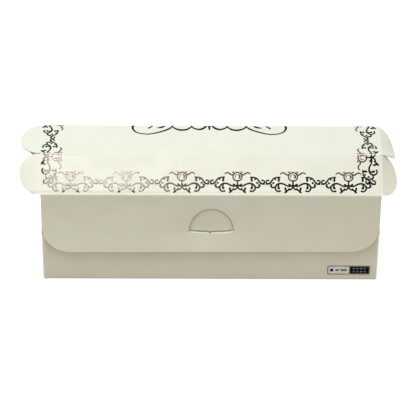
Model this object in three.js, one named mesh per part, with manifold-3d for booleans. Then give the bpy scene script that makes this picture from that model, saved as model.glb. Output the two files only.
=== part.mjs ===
// A shut sweets box folded from one sheet of white paperboard. Its section is a hexagon: a floor,
// two upright walls, two sloping panels and a level top. A flap hangs from the front eave over the
// front wall and is held by a half-moon tab. Half-round ears stand out at both ends of the upper
// panels. Millimetres, +Z up, X along the box, and the front faces -Y.

import * as THREE from 'three';
import { mergeVertices } from 'three/addons/utils/BufferGeometryUtils.js';
import Module from 'manifold-3d';

// Driving dimensions of the folded box
const LENGTH = 180;
const WALL = 57.6;
const SLOPE = 22.1;
const SLOPE_ANGLE = Math.PI / 4;
const TOP = 25.7;
const BOARD = 0.5;
const CREASE = 0.9;

// The front wall stands inside the hanging flap, and its upper edge hides under the eave
const WALL_CLEARANCE = 0.15;
const WALL_TUCK = 1.5;

// Flap: how far it hangs, how much shorter it is at each end, its lower corners, its spring, and
// the share of the spring that goes over from the right end to the left
const FLAP_HANG = 36.4;
const FLAP_SHY = 0.5;
const FLAP_CORNER = 13;
const FLAP_SPRING = 2.2;
const FLAP_CURL = 1.8;
const FLAP_SKEW = 0.25;

// Half-moon tab, measured down from the eave, and the slit that its fold goes into
const LOCK_X = 0.6;
const LOCK_HALF = 12;
const LOCK_RISE = 14.35;
const LOCK_HANG = 24.15;
const LOCK_BOW = 0.7;
const LOCK_HOLD = 0.9;
const LOCK_REACH = 18;
const SLIT_GAPE = 0.6;
const SLIT_DEPTH = 1.2;
const SLIT_ENDS = 0.5;
const FOLD_PROUD = 0.3;
const FOLD_SHY = 0.3;

// Ears: how far they reach beyond the end, the notch left between two of them, and how full their
// outline is, where 2 is an ellipse
const EAR_REACH = 11.05;
const EAR_NOTCH = 0.25;
const EAR_FULLNESS = 2.25;
const EAR_ROOT = 0.3;
const EAR_SINK = 0.05;

// Ends: the walls turn round an upright crease into side flaps that close the end. The front one
// lies over the back one, and both stop short of the sloping panels and the top.
const SIDE_CREASE = 1.3;
const SIDE_SEAM = 6;
const SIDE_LAP = 3;
const SIDE_STEP = 0.4;
const SIDE_SINK = 0.05;
const END_CORE = 1;
const END_ROOT = 1;
const END_GAP = 0.5;

// How far a cutter reaches beyond what it cuts
const CUT_MARGIN = 1;

// How finely the wrapped sheet and the curves are divided
const COLUMNS = 30;
const FLAP_ROWS = 12;
const CREASE_STEPS = 3;
const CURVE_STEPS = 14;

// Worked out from the dimensions above
const RUN = SLOPE * Math.cos(SLOPE_ANGLE);
const RISE = SLOPE * Math.sin(SLOPE_ANGLE);
const DEPTH = TOP + 2 * RUN;
const HEIGHT = WALL + RISE;
const FRONT = -DEPTH / 2;
const BACK = DEPTH / 2;
const WALL_FACE = FRONT + BOARD + WALL_CLEARANCE;

// How far each ear is turned below its panel, in radians: at its middle, what is added toward the
// one end of its hinge and taken off toward the other, and what is added toward both ends
const degrees = THREE.MathUtils.degToRad;
const EARS = [
  { panel: 'top', side: -1, fold: degrees(3), twist: degrees(3), cup: 0 },
  { panel: 'top', side: 1, fold: degrees(44), twist: degrees(7.5), cup: degrees(-12.5) },
  { panel: 'front', side: -1, fold: degrees(3), twist: degrees(-2), cup: 0 },
  { panel: 'front', side: 1, fold: degrees(40), twist: degrees(11), cup: 0 },
  { panel: 'back', side: -1, fold: degrees(68), twist: degrees(2), cup: 0 },
  { panel: 'back', side: 1, fold: degrees(80), twist: degrees(-3), cup: 0 },
];

// Where an ear is hinged: the middle of its crease, the way along the crease and the panel's normal
const PANELS = {
  top: { middle: [0, HEIGHT], along: [1, 0], normal: [0, 1], half: TOP / 2 - EAR_NOTCH },
  front: {
    middle: [FRONT + RUN / 2, WALL + RISE / 2],
    along: [Math.cos(SLOPE_ANGLE), Math.sin(SLOPE_ANGLE)],
    normal: [-Math.sin(SLOPE_ANGLE), Math.cos(SLOPE_ANGLE)],
    half: SLOPE / 2 - EAR_NOTCH,
  },
  back: {
    middle: [BACK - RUN / 2, WALL + RISE / 2],
    along: [Math.cos(SLOPE_ANGLE), -Math.sin(SLOPE_ANGLE)],
    normal: [Math.sin(SLOPE_ANGLE), Math.cos(SLOPE_ANGLE)],
    half: SLOPE / 2 - EAR_NOTCH,
  },
};

const wasm = await Module();
wasm.setup();

function solid(geometry) {
  const plain = geometry.clone();
  plain.deleteAttribute('normal');
  plain.deleteAttribute('uv');
  const merged = mergeVertices(plain);
  const vertProperties = Float32Array.from(merged.attributes.position.array);
  const triVerts = Uint32Array.from(merged.index.array);
  return new wasm.Manifold(new wasm.Mesh({ numProp: 3, vertProperties, triVerts }));
}

function geometryOf(manifold) {
  const mesh = manifold.getMesh();
  const geometry = new THREE.BufferGeometry();
  geometry.setAttribute('position', new THREE.BufferAttribute(mesh.vertProperties, 3));
  geometry.setIndex(new THREE.BufferAttribute(mesh.triVerts, 1));
  geometry.computeVertexNormals();
  return geometry;
}

// Moves every vertex of a geometry to the place that a rule gives it
function placed(geometry, place) {
  const position = geometry.attributes.position;
  const at = new THREE.Vector3();
  for (let i = 0; i < position.count; i += 1) {
    at.fromBufferAttribute(position, i);
    position.setXYZ(i, ...place(at.x, at.y, at.z));
  }
  return geometry;
}

// A shape drawn in the plane of the section, as (y, z), and run along X between two ends
function alongBox(shape, start, end) {
  const geometry = new THREE.ExtrudeGeometry(shape, { depth: end - start, bevelEnabled: false });
  return placed(geometry, (y, z, run) => [start + run, y, z]);
}

// A cutter drawn as seen from the front, as (x, z), that goes through the flap but not the wall
function throughFlap(shape) {
  const near = FRONT - FLAP_SPRING * (1 + FLAP_SKEW) - CUT_MARGIN;
  const far = FRONT + BOARD + WALL_CLEARANCE / 2;
  const options = { depth: far - near, bevelEnabled: false, curveSegments: CURVE_STEPS };
  const geometry = new THREE.ExtrudeGeometry(shape, options);
  return placed(geometry, (x, z, run) => [x, far - run, z]);
}

// How far the flap stands off the wall at x, at a distance down from the eave
function flapLift(x, hang) {
  const skew = 1 - (FLAP_SKEW * x) / (LENGTH / 2);
  const spring = FLAP_SPRING * skew * (hang / FLAP_HANG) ** FLAP_CURL;
  const below = THREE.MathUtils.clamp((hang - LOCK_HANG) / (FLAP_HANG - LOCK_HANG), 0, 1);
  const held = 1 - Math.sin((below * Math.PI) / 2);
  const pull = LOCK_HOLD * Math.exp(-(((x - LOCK_X) / LOCK_REACH) ** 2)) * held;
  return spring * (1 - pull);
}

// The outer line of the sheet round the section, from the flap's lower edge over the top and
// under the floor to the top edge of the front wall, with its creases as arcs. Each station has a
// place, an outward normal and, on the flap, its distance down from the eave.
function sheetStations() {
  const corners = [
    [FRONT, WALL - FLAP_HANG],
    [FRONT, WALL],
    [-TOP / 2, HEIGHT],
    [TOP / 2, HEIGHT],
    [BACK, WALL],
    [BACK, 0],
    [WALL_FACE, 0],
    [WALL_FACE, WALL - WALL_TUCK],
  ].map(([y, z]) => new THREE.Vector2(y, z));
  const headings = corners.slice(1).map((corner, i) => corner.clone().sub(corners[i]).normalize());
  const outward = (heading) => new THREE.Vector2(-heading.y, heading.x);
  const stations = [];
  for (let row = 0; row < FLAP_ROWS; row += 1) {
    const hang = FLAP_HANG * (1 - row / FLAP_ROWS);
    stations.push({ place: new THREE.Vector2(FRONT, WALL - hang), normal: outward(headings[0]), hang });
  }
  for (let i = 1; i < corners.length - 1; i += 1) {
    const before = outward(headings[i - 1]);
    const after = outward(headings[i]);
    const turn = Math.acos(before.dot(after));
    const setback = CREASE * Math.tan(turn / 2);
    const centre = corners[i].clone().addScaledVector(headings[i - 1], -setback);
    centre.addScaledVector(before, -CREASE);
    for (let step = 0; step <= CREASE_STEPS; step += 1) {
      const normal = before.clone().rotateAround(new THREE.Vector2(), (-turn * step) / CREASE_STEPS);
      stations.push({ place: centre.clone().addScaledVector(normal, CREASE), normal, hang: 0 });
    }
  }
  const last = corners.length - 1;
  stations.push({ place: corners[last], normal: outward(headings[last - 1]), hang: 0 });
  return stations;
}

// The whole sheet as one bent slab of board
function wrappedSheet() {
  const stations = sheetStations();
  const rows = stations.length - 1;
  const slab = new THREE.BoxGeometry(LENGTH, rows, 1, COLUMNS, rows, 1);
  return placed(slab, (x, row, face) => {
    const { place, normal, hang } = stations[Math.round(row + rows / 2)];
    const inward = face > 0 ? 0 : BOARD;
    const lift = hang > 0 ? flapLift(x, hang) : 0;
    return [x, place.x + normal.x * (lift - inward), place.y + normal.y * (lift - inward)];
  });
}

// What is trimmed off the flap: its two ends, with the rounded lower corners
function flapTrim(side) {
  const edge = LENGTH / 2 - FLAP_SHY;
  const outside = LENGTH / 2 + CUT_MARGIN;
  const low = WALL - FLAP_HANG;
  const high = WALL - CREASE;
  const centre = side * (edge - FLAP_CORNER);
  const from = side > 0 ? 0 : Math.PI;
  const shape = new THREE.Shape();
  shape.moveTo(side * edge, high);
  shape.absarc(centre, low + FLAP_CORNER, FLAP_CORNER, from, -Math.PI / 2, side > 0);
  shape.lineTo(centre, low - CUT_MARGIN);
  shape.lineTo(side * outside, low - CUT_MARGIN);
  shape.lineTo(side * outside, high);
  return throughFlap(shape);
}

// The half-moon opening that the tab leaves in the flap, with its slightly bowed straight side
function halfMoon() {
  const slit = WALL - LOCK_HANG;
  const shape = new THREE.Shape();
  shape.moveTo(LOCK_X - LOCK_HALF, slit);
  shape.quadraticCurveTo(LOCK_X, slit - 2 * LOCK_BOW, LOCK_X + LOCK_HALF, slit);
  shape.absellipse(LOCK_X, slit, LOCK_HALF, LOCK_RISE, 0, Math.PI, false);
  return throughFlap(shape);
}

// A bar that follows the bowed slit, between two depths and two heights above the slit
function slitBar(near, far, low, high, half) {
  const bar = new THREE.BoxGeometry(2 * half, far - near, high - low, CURVE_STEPS, 1, 1);
  const middle = WALL - LOCK_HANG + (low + high) / 2;
  return placed(bar, (x, y, z) => {
    const bow = LOCK_BOW * (1 - (x / LOCK_HALF) ** 2);
    return [LOCK_X + x, (near + far) / 2 + y, middle + z - bow];
  });
}

// A closed hexagon inside the sheet, a given distance in from the walls and the floor, and another
// distance in from the sloping panels and the top
function sectionShape(inset, lidInset) {
  const front = WALL_FACE + inset;
  const back = BACK - inset;
  const lid = (y) => WALL + (y - FRONT) * Math.tan(SLOPE_ANGLE) - lidInset / Math.cos(SLOPE_ANGLE);
  const top = TOP / 2 - lidInset * Math.tan(SLOPE_ANGLE / 2);
  return new THREE.Shape([
    new THREE.Vector2(front, inset),
    new THREE.Vector2(back, inset),
    new THREE.Vector2(back, lid(-back)),
    new THREE.Vector2(top, HEIGHT - lidInset),
    new THREE.Vector2(-top, HEIGHT - lidInset),
    new THREE.Vector2(front, lid(front)),
  ]);
}

// The side flap of one end, seen from that end: the hexagon between two depths
function sideFlap(side, near, far, outer) {
  const half = LENGTH / 2;
  const ends = [side * (half - outer), side * (half - END_CORE - END_ROOT)];
  const shape = sectionShape(BOARD / 2, BOARD + END_GAP);
  const whole = solid(alongBox(shape, Math.min(...ends), Math.max(...ends)));
  const slice = new THREE.BoxGeometry(LENGTH + CUT_MARGIN, far - near, 2 * HEIGHT + CUT_MARGIN);
  slice.translate(0, (near + far) / 2, 0);
  return whole.intersect(solid(slice));
}

// What is cut off an upright edge to leave the round crease between a wall and its side flap
function uprightCut(side, wall, inward) {
  const end = (side * LENGTH) / 2;
  const centre = new THREE.Vector2(end - side * SIDE_CREASE, wall + inward * SIDE_CREASE);
  const margin = WALL_CLEARANCE / 2;
  const shape = new THREE.Shape();
  shape.moveTo(centre.x, wall - inward * margin);
  shape.lineTo(end + side * CUT_MARGIN, wall - inward * margin);
  shape.lineTo(end + side * CUT_MARGIN, centre.y);
  const steps = CREASE_STEPS + 1;
  for (let step = 0; step <= steps; step += 1) {
    const angle = (Math.PI / 2) * (step / steps);
    const x = centre.x + side * SIDE_CREASE * Math.cos(angle);
    shape.lineTo(x, centre.y - inward * SIDE_CREASE * Math.sin(angle));
  }
  const height = WALL - WALL_TUCK + CUT_MARGIN;
  const geometry = new THREE.ExtrudeGeometry(shape, { depth: height, bevelEnabled: false });
  return geometry.translate(0, 0, -CUT_MARGIN);
}

// The outline of an ear from one end of its hinge to the other: somewhat fuller than half an ellipse
function earOutline(half) {
  const steps = 2 * CURVE_STEPS;
  const points = [];
  for (let step = 0; step <= steps; step += 1) {
    const angle = Math.PI * (step / steps - 0.5);
    const reach = (EAR_REACH + EAR_ROOT) * Math.abs(Math.cos(angle)) ** (2 / EAR_FULLNESS);
    const run = half * Math.sign(angle) * Math.abs(Math.sin(angle)) ** (2 / EAR_FULLNESS);
    points.push(new THREE.Vector2(reach, run));
  }
  return new THREE.Shape(points);
}

// One ear of board, hinged on its panel's end crease and turned below the panel
function ear({ panel, side, fold, twist, cup }) {
  const { middle, along, normal, half } = PANELS[panel];
  const options = { depth: BOARD, bevelEnabled: false };
  const geometry = new THREE.ExtrudeGeometry(earOutline(half), options);
  const hinge = LENGTH / 2 - EAR_ROOT;
  placed(geometry, (reach, run, thickness) => {
    const share = run / half;
    const turn = fold + twist * share + cup * share ** 2;
    const under = EAR_SINK + BOARD - thickness;
    const out = reach * Math.cos(turn) - under * Math.sin(turn);
    const drop = reach * Math.sin(turn) + under * Math.cos(turn);
    return [
      side * (hinge + out),
      middle[0] + along[0] * run - normal[0] * drop,
      middle[1] + along[1] * run - normal[1] * drop,
    ];
  });
  return side > 0 ? geometry : turnedFaces(geometry);
}

// Turns the faces of a mirrored geometry the right way out again
function turnedFaces(geometry) {
  const position = geometry.attributes.position;
  const order = [];
  for (let i = 0; i < position.count; i += 3) {
    order.push(i, i + 2, i + 1);
  }
  geometry.setIndex(order);
  return geometry;
}

function carton() {
  let sheet = solid(wrappedSheet());
  for (const side of [-1, 1]) {
    sheet = sheet.subtract(solid(flapTrim(side)));
  }
  sheet = sheet.subtract(solid(halfMoon()));

  const half = LENGTH / 2;
  const core = alongBox(sectionShape(BOARD / 2, BOARD / 2), -half + END_CORE, half - END_CORE);
  const slit = slitBar(FRONT, WALL_FACE + SLIT_DEPTH, 0, SLIT_GAPE, LOCK_HALF + SLIT_ENDS);
  let box = sheet.add(solid(core)).subtract(solid(slit));
  for (const side of [-1, 1]) {
    box = box.add(sideFlap(side, FRONT, SIDE_SEAM, SIDE_SINK));
    box = box.add(sideFlap(side, SIDE_SEAM - SIDE_LAP, BACK, SIDE_STEP));
    box = box.subtract(solid(uprightCut(side, WALL_FACE, 1)));
    box = box.subtract(solid(uprightCut(side, BACK, -1)));
  }

  const fold = slitBar(FRONT - FOLD_PROUD, WALL_FACE + BOARD, -BOARD, 0, LOCK_HALF - FOLD_SHY);
  box = box.add(solid(fold));
  for (const each of EARS) {
    box = box.add(solid(ear(each)));
  }
  return box;
}

const paperboard = new THREE.MeshStandardMaterial({ color: 0xf1efe2, roughness: 0.55, metalness: 0 });

const mesh = new THREE.Mesh(geometryOf(carton()), paperboard);
mesh.name = 'carton';

// The origin is below the middle of the whole box, ears and flap counted, on the floor
mesh.geometry.computeBoundingBox();
const middle = mesh.geometry.boundingBox.getCenter(new THREE.Vector3());
mesh.position.set(-middle.x, -middle.y, 0);

const group = new THREE.Group();
group.add(mesh);

export default group;
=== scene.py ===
import math
from collections import namedtuple

import bmesh
import bpy
from mathutils import Matrix, Vector


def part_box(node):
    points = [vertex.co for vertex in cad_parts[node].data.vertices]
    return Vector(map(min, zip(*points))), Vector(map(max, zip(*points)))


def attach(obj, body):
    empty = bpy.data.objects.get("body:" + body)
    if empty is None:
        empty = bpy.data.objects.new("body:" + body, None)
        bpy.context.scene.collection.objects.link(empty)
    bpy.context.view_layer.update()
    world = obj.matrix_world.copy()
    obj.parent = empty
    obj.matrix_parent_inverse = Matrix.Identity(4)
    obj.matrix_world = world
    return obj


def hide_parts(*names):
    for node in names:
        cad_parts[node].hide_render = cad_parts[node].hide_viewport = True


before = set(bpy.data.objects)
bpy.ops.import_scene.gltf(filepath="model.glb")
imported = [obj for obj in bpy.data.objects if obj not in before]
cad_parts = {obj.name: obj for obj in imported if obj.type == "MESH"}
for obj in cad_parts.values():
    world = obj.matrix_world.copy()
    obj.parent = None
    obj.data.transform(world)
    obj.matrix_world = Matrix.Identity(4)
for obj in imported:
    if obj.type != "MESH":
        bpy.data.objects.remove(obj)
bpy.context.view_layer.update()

# A shut sweets box folded from one sheet of white paperboard, printed with dark and wine foil.
# Sizes are in millimetres, and a point becomes metres where it is placed. Places round the box
# are given by x along it and by s, the distance up the sheet from the front eave: the flap is
# below 0, and the front slope, top, back slope and back wall follow.
MM = 0.001

# Folded box
LENGTH = 180
HALF = LENGTH / 2
WALL = 57.6
SLOPE = 22.1
TOP = 25.7
BOARD = 0.5
RISE = SLOPE * math.sin(math.pi / 4)
DEPTH = TOP + 2 * RISE
HEIGHT = WALL + RISE
FRONT = -DEPTH / 2
BACK = DEPTH / 2
WALL_GAP = 0.15
WALL_FACE = FRONT + BOARD + WALL_GAP
WALL_TUCK = 1.5
WALL_LEAN = 0.3
WALL_LEAN_UP = 7
WALL_HOLLOW = 0.08
WALL_WAVE = 17

# Creases: how round the sheet is at each, and how wide it is worn, as a share of a crease's round
# and in millimetres at an ear's bend and on the print
EAVE_ROUND = 1.5
CREASE_ROUND = 0.9
SIDE_ROUND = 1.3
CREASE_WORN = 0.6
BEND_WORN = 0.6
PRINT_WORN = 0.55

# Flap, measured down from the eave: its length, how far its sides draw in and over which stretch,
# its round corners, and how it springs off the wall
FLAP_HANG = 36.4
FLAP_SHY = 0.3
FLAP_EASE = (0.5, 2.5)
FLAP_CORNER = 14.7
FLAP_SPRING = 2.2
FLAP_CURL = 1.8
FLAP_SKEW = 0.25

# Half-moon tab, and the slit that its fold goes into
LOCK_X = 0.25
LOCK_HALF = 12
LOCK_RISE = 14.8
LOCK_HANG = 24.15
LOCK_BOW = 0.7
LOCK_HOLD = 0.9
LOCK_REACH = 18
LIP_ROUND = 0.3
LIP_SHY = 0.3
LIP_TUCK = 3.5
LIP_DROP = 0.55
LIP_LOW = 0.45
LIP_SWELL = 0.35
LIP_SWELL_WIDTH = 1.5
SLIT_GAPE = 0.3
SLIT_ENDS = 0.5
SLIT_BELOW = 1.2
NICK_X = -0.4
NICK_WIDTH = 0.55
NICK_DEPTH = 0.9
NICK_IN_WALL = 0.6
NICK_DENT = 0.4
NICK_DENT_REACH = 2

# Ears: reach beyond the end, notch between two of them, fullness of their outline, where 2 is an
# ellipse, and length of their bend
EAR_REACH = 11.05
EAR_NOTCH = 0.25
EAR_FULLNESS = 2.25
EAR_BEND = 1.4

# Side flaps that close the ends
SIDE_FRONT_FACE = HALF - 0.05
SIDE_BACK_FACE = HALF - 0.6
SIDE_SEAM = 6
SIDE_LAP = 3
SIDE_GAP = 0.5
SIDE_LIFT = 0.35
SIDE_BOW = 0.25
PLAIN_END = 88.1

# Print on the sheet
PRINT_X = -0.88
PRINT_S = 49.7
UNIT_STEP = 29.26
ROW_FROM_MIDDLE = 44.73
COLUMN_FROM_MIDDLE = 85.45
FOIL_LIFT = 0.035
SCROLL_SPREAD = 0.42
ROUNDEL_SPREAD = 0.27
FLOURISH_SPREAD = 0.3


def lerp(a, b, share):
    return a + (b - a) * share


def smooth(low, high, value):
    share = min(1.0, max(0.0, (value - low) / (high - low)))
    return share * share * (3 - 2 * share)


def steps(start, end, count):
    return [lerp(start, end, k / count) for k in range(count + 1)]


def rounded_steps(start, end, count):
    """Steps that are close together at both ends."""
    return [lerp(start, end, (1 - math.cos(math.pi * k / count)) / 2) for k in range(count + 1)]


# The frame holds the box with its ears and flap centred, so the folded box itself lies off centre
floor_x = [v.co.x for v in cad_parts["carton"].data.vertices if v.co.z < MM / 2]
BODY_X = (min(floor_x) + max(floor_x)) / 2 / MM
BODY_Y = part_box("carton")[1].y / MM - BACK


def at(x, y, z):
    """A point of the folded box, given in millimetres, as a place in the frame."""
    return Vector((BODY_X + x, BODY_Y + y, z)) * MM


# Section of the sheet
Panel = namedtuple("Panel", "start end corner heading normal")
Crease = namedtuple("Crease", "s corner heading normal turn radius")


def section_panels():
    """The flat stretches of the sheet's outer line, as (y, z), from the flap's edge to the floor."""
    corners = [
        Vector((FRONT, WALL - FLAP_HANG)),
        Vector((FRONT, WALL)),
        Vector((-TOP / 2, HEIGHT)),
        Vector((TOP / 2, HEIGHT)),
        Vector((BACK, WALL)),
        Vector((BACK, 0)),
    ]
    panels = []
    start = -FLAP_HANG
    for corner, following in zip(corners, corners[1:]):
        heading = (following - corner).normalized()
        end = start + (following - corner).length
        panels.append(Panel(start, end, corner, heading, Vector((-heading.y, heading.x))))
        start = end
    return panels


PANELS = section_panels()
FLAP_PANEL, FRONT_SLOPE, TOP_PANEL, BACK_SLOPE = PANELS[:4]


def section_creases():
    """The rounded creases between the flat stretches."""
    creases = []
    for before, after in zip(PANELS, PANELS[1:]):
        turn = before.normal.angle(after.normal)
        radius = EAVE_ROUND if before is FLAP_PANEL else CREASE_ROUND
        creases.append(Crease(after.start, after.corner, before.heading, before.normal, turn, radius))
    return creases


CREASES = section_creases()
EAVE = CREASES[0]
BACK_EAVE = CREASES[-1]


def crease_reach(crease):
    return crease.radius * math.tan(crease.turn / 2)


def panel_at(s):
    return next((panel for panel in PANELS if s <= panel.end), PANELS[-1])


def section(s):
    """Place and outward normal, as (y, z), of the sheet's outer line at s."""
    for crease in CREASES:
        reach = crease_reach(crease)
        if abs(s - crease.s) < reach:
            share = (s - crease.s + reach) / (2 * reach)
            normal = Matrix.Rotation(-crease.turn * share, 2) @ crease.normal
            centre = crease.corner - crease.heading * reach - crease.normal * crease.radius
            return centre + normal * crease.radius, normal
    panel = panel_at(s)
    return panel.corner + panel.heading * (s - panel.start), panel.normal


# Score lines pressed beside the creases: place, depth, half width, and the share of the depth that
# is lost toward the right end
SCORES = [
    (1.15, 0.26, 0.3, 0.75),
    (TOP_PANEL.start - 0.6, 0.12, 0.2, 0.5),
    (TOP_PANEL.start + 0.6, 0.1, 0.2, 0.5),
    (TOP_PANEL.end - 0.6, 0.05, 0.2, 0),
    (TOP_PANEL.end + 0.6, 0.05, 0.2, 0),
]

# Waves of board that isn't pressed quite flat: their depth, the lengths of the long and the short
# ones, the share of the short ones, and their shift from panel to panel and up the sheet
SHEET_WAVE = 0.07
LONG_WAVE = 21
SHORT_WAVE = 9.5
SHORT_SHARE = 0.6
WAVE_SHIFT = 1.7
WAVE_SLANT = 8

# Scored hinges of the ears, toward which the sheet also eases down
HINGE_X = 89.35
HINGE_DEPTH = 0.09
HINGE_WIDTH = 0.28
HINGE_EASE = 0.16


def flap_lift(x, hang):
    """How far the flap stands off the wall."""
    spring = FLAP_SPRING * (1 - FLAP_SKEW * x / HALF) * (hang / FLAP_HANG) ** FLAP_CURL
    below = min(1.0, max(0.0, (hang - LOCK_HANG) / (FLAP_HANG - LOCK_HANG)))
    held = 1 - math.sin(math.pi / 2 * below)
    return spring * (1 - LOCK_HOLD * held * math.exp(-(((x - LOCK_X) / LOCK_REACH) ** 2)))


def relief(x, s):
    """How far out the sheet's face is moved: score lines, waves and hinges take it in, below 0."""
    scores = 0.0
    for place, depth, width, loss in SCORES:
        kept = 1 - loss * (x + HALF) / LENGTH
        scores -= depth * kept * math.exp(-(((s - place) / width) ** 2))
    panel = panel_at(s)
    across = math.sin(math.pi * min(1.0, max(0.0, (s - panel.start) / (panel.end - panel.start))))
    phase = WAVE_SHIFT * PANELS.index(panel)
    waves = math.sin(x / LONG_WAVE + phase)
    waves += SHORT_SHARE * math.sin(x / SHORT_WAVE - 2 * phase + s / WAVE_SLANT)
    hinges = -HINGE_EASE * smooth(PLAIN_END, HALF, abs(x))
    hinges -= HINGE_DEPTH * math.exp(-(((abs(x) - HINGE_X) / HINGE_WIDTH) ** 2))
    return scores + smooth(0, 1, s) * hinges - SHEET_WAVE * across * (1 + waves / (1 + SHORT_SHARE))


def creasing(s):
    """1 on a crease, falling to 0 beside it."""
    return max(math.exp(-(((s - crease.s) / (CREASE_WORN * crease.radius)) ** 2)) for crease in CREASES)


def on_sheet(x, s, out=0.0):
    """A place on the sheet's outer face, or a little outside it."""
    place, normal = section(s)
    lift = flap_lift(x, -s) if s < 0 else 0.0
    spot = place + normal * (lift + relief(x, s) + out)
    return at(x, spot.x, spot.y)


# Meshes
def new_sheet():
    work = bmesh.new()
    work.verts.layers.float.new("crease")
    return work


def add_grid(work, rows):
    """Joins rows of (place, creasing) points into a surface."""
    layer = work.verts.layers.float["crease"]
    made = []
    for row in rows:
        line = []
        for place, worn in row:
            vertex = work.verts.new(place)
            vertex[layer] = worn
            line.append(vertex)
        made.append(line)
    for low, high in zip(made, made[1:]):
        for k in range(len(low) - 1):
            work.faces.new((low[k], low[k + 1], high[k + 1], high[k]))
    return made


# Places this close count as one, and an edge that turns more than this is drawn sharp
MERGE = 1e-6
SHARP = math.radians(38)


def new_piece(work, name, materials):
    """Turns the work into a piece of the object, with its materials."""
    bmesh.ops.remove_doubles(work, verts=work.verts, dist=MERGE)
    bmesh.ops.dissolve_degenerate(work, edges=work.edges, dist=MERGE)
    mesh = bpy.data.meshes.new(name)
    work.to_mesh(mesh)
    work.free()
    for material in materials:
        mesh.materials.append(material)
    piece = bpy.data.objects.new(name, mesh)
    bpy.context.scene.collection.objects.link(piece)
    return piece


def shade(piece):
    for face in piece.data.polygons:
        face.use_smooth = True
    piece.data.set_sharp_from_angle(angle=SHARP)


def apply_modifiers(piece):
    bpy.context.view_layer.objects.active = piece
    for modifier in list(piece.modifiers):
        bpy.ops.object.modifier_apply(modifier=modifier.name)


# Folded sheet
def flap_bottom(c):
    """How far down the flap reaches in one column, with its rounded lower corners."""
    inside = abs(c) * (HALF - FLAP_SHY) / HALF - (HALF - FLAP_SHY - FLAP_CORNER)
    if inside <= 0:
        return FLAP_HANG
    return FLAP_HANG - FLAP_CORNER + math.sqrt(max(0.0, FLAP_CORNER**2 - inside**2))


def lock_across(x):
    """0 at the middle of the half-moon and 1 at its ends or beyond."""
    return min(1.0, abs(x - LOCK_X) / LOCK_HALF)


def arc_hang(x):
    return LOCK_HANG - LOCK_RISE * math.sqrt(1 - lock_across(x) ** 2)


def slit_hang(x):
    return LOCK_HANG + LOCK_BOW * (1 - lock_across(x) ** 2)


def nick(x):
    """The small nick in the tab's fold, near its middle."""
    return math.exp(-(((x - NICK_X) / NICK_WIDTH) ** 2))


def lip_hang(x):
    """The tab's fold: a little below the slit's line, and lower at the nick."""
    return slit_hang(x) + LIP_LOW * (1 - lock_across(x) ** 6) + NICK_DEPTH * nick(x)


COLUMNS_APART = 0.12


def sheet_columns():
    """Places along the box: close together at the half-moon's ends, the flap's corners and hinges."""
    plain = [-PLAIN_END, PLAIN_END, -HALF, HALF]
    plain += steps(-76, 76, 38)
    hinge = [HINGE_X + HINGE_WIDTH * share for share in (-4, -2, -1, -0.5, 0, 0.5, 1)]
    plain += [side * x for side in (-1, 1) for x in (HALF - EAR_BEND / 2, *hinge)]
    corner = [FLAP_CORNER * math.sin(math.radians(angle)) for angle in range(0, 84, 7)]
    scale = HALF / (HALF - FLAP_SHY)
    rounds = [side * (HALF - FLAP_SHY - FLAP_CORNER + reach) * scale for reach in corner for side in (-1, 1)]
    lock = [LOCK_X + LOCK_HALF * math.sin(math.radians(angle)) for angle in range(-90, 91, 6)]
    lock = [x for x in lock if abs(x - NICK_X) > 2 * NICK_WIDTH]
    lock += [NICK_X + NICK_WIDTH * share for share in (-2, -1.4, -0.7, 0, 0.7, 1.4, 2)]
    ends = [LOCK_X + side * (LOCK_HALF + SLIT_ENDS) for side in (-1, 1)]
    keep = plain[:4] + lock + ends
    for x in plain[4:] + rounds:
        if all(abs(x - other) > COLUMNS_APART for other in keep):
            keep.append(x)
    return sorted(keep)


COLUMNS = sheet_columns()
WALL_COLUMNS = [x for x in COLUMNS if abs(x) <= PLAIN_END]
LOCK_COLUMNS = [x for x in COLUMNS if abs(x - LOCK_X) < LOCK_HALF - LIP_SHY / 2]

# First row of the flap above its lower edge, as a share of the way up to the tab's fold
EDGE_STEP = 0.006

# Bevel that the die pressed along the half-moon's arc: its share of the way up, and its depth
ARC_STEP = 0.022
ARC_BEVEL = 0.3


def sheet_rows():
    """Distances up the sheet, from the eave's arc over to the back wall."""
    rows = []
    for crease in CREASES:
        reach = crease_reach(crease)
        rows += steps(crease.s - reach, crease.s + reach, 6)
    for panel in (FRONT_SLOPE, TOP_PANEL, BACK_SLOPE):
        middle = (panel.start + panel.end) / 2
        half = (panel.end - panel.start) / 2 - EAR_NOTCH
        rows += [middle + half * math.sin(math.radians(angle)) for angle in range(-90, 91, 9)]
    for place, _, width, _ in SCORES:
        rows += steps(place - 2 * width, place + 2 * width, 4)
    return sorted(rows)


def turn_of(ear, run):
    """How far an ear is turned below its panel at one place along its hinge."""
    share = run / ear_half(ear)
    return ear.fold + ear.twist * share + ear.cup * share**2


Ear = namedtuple("Ear", "panel side fold twist cup")
EARS = [
    Ear(TOP_PANEL, -1, math.radians(3), math.radians(3), 0),
    Ear(TOP_PANEL, 1, math.radians(44), math.radians(7.5), math.radians(-12.5)),
    Ear(FRONT_SLOPE, -1, math.radians(3), math.radians(-2), 0),
    Ear(FRONT_SLOPE, 1, math.radians(40), math.radians(11), 0),
    Ear(BACK_SLOPE, -1, math.radians(68), math.radians(2), 0),
    Ear(BACK_SLOPE, 1, math.radians(80), math.radians(-3), 0),
]
EAR_CURL = math.radians(6)
BEND_STEP = 0.1
EAR_STEPS = [0, 0.03, 0.07, 0.12, 0.2, 0.3, 0.4, 0.5, 0.6, 0.7, 0.8, 0.88, 0.94, 0.975, 1]


def ear_half(ear):
    return (ear.panel.end - ear.panel.start) / 2 - EAR_NOTCH


def ear_run(ear, s):
    """Place along the ear's hinge, 0 at its middle, or None beyond its ends."""
    run = s - (ear.panel.start + ear.panel.end) / 2
    return run if abs(run) <= ear_half(ear) + MERGE else None


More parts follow.
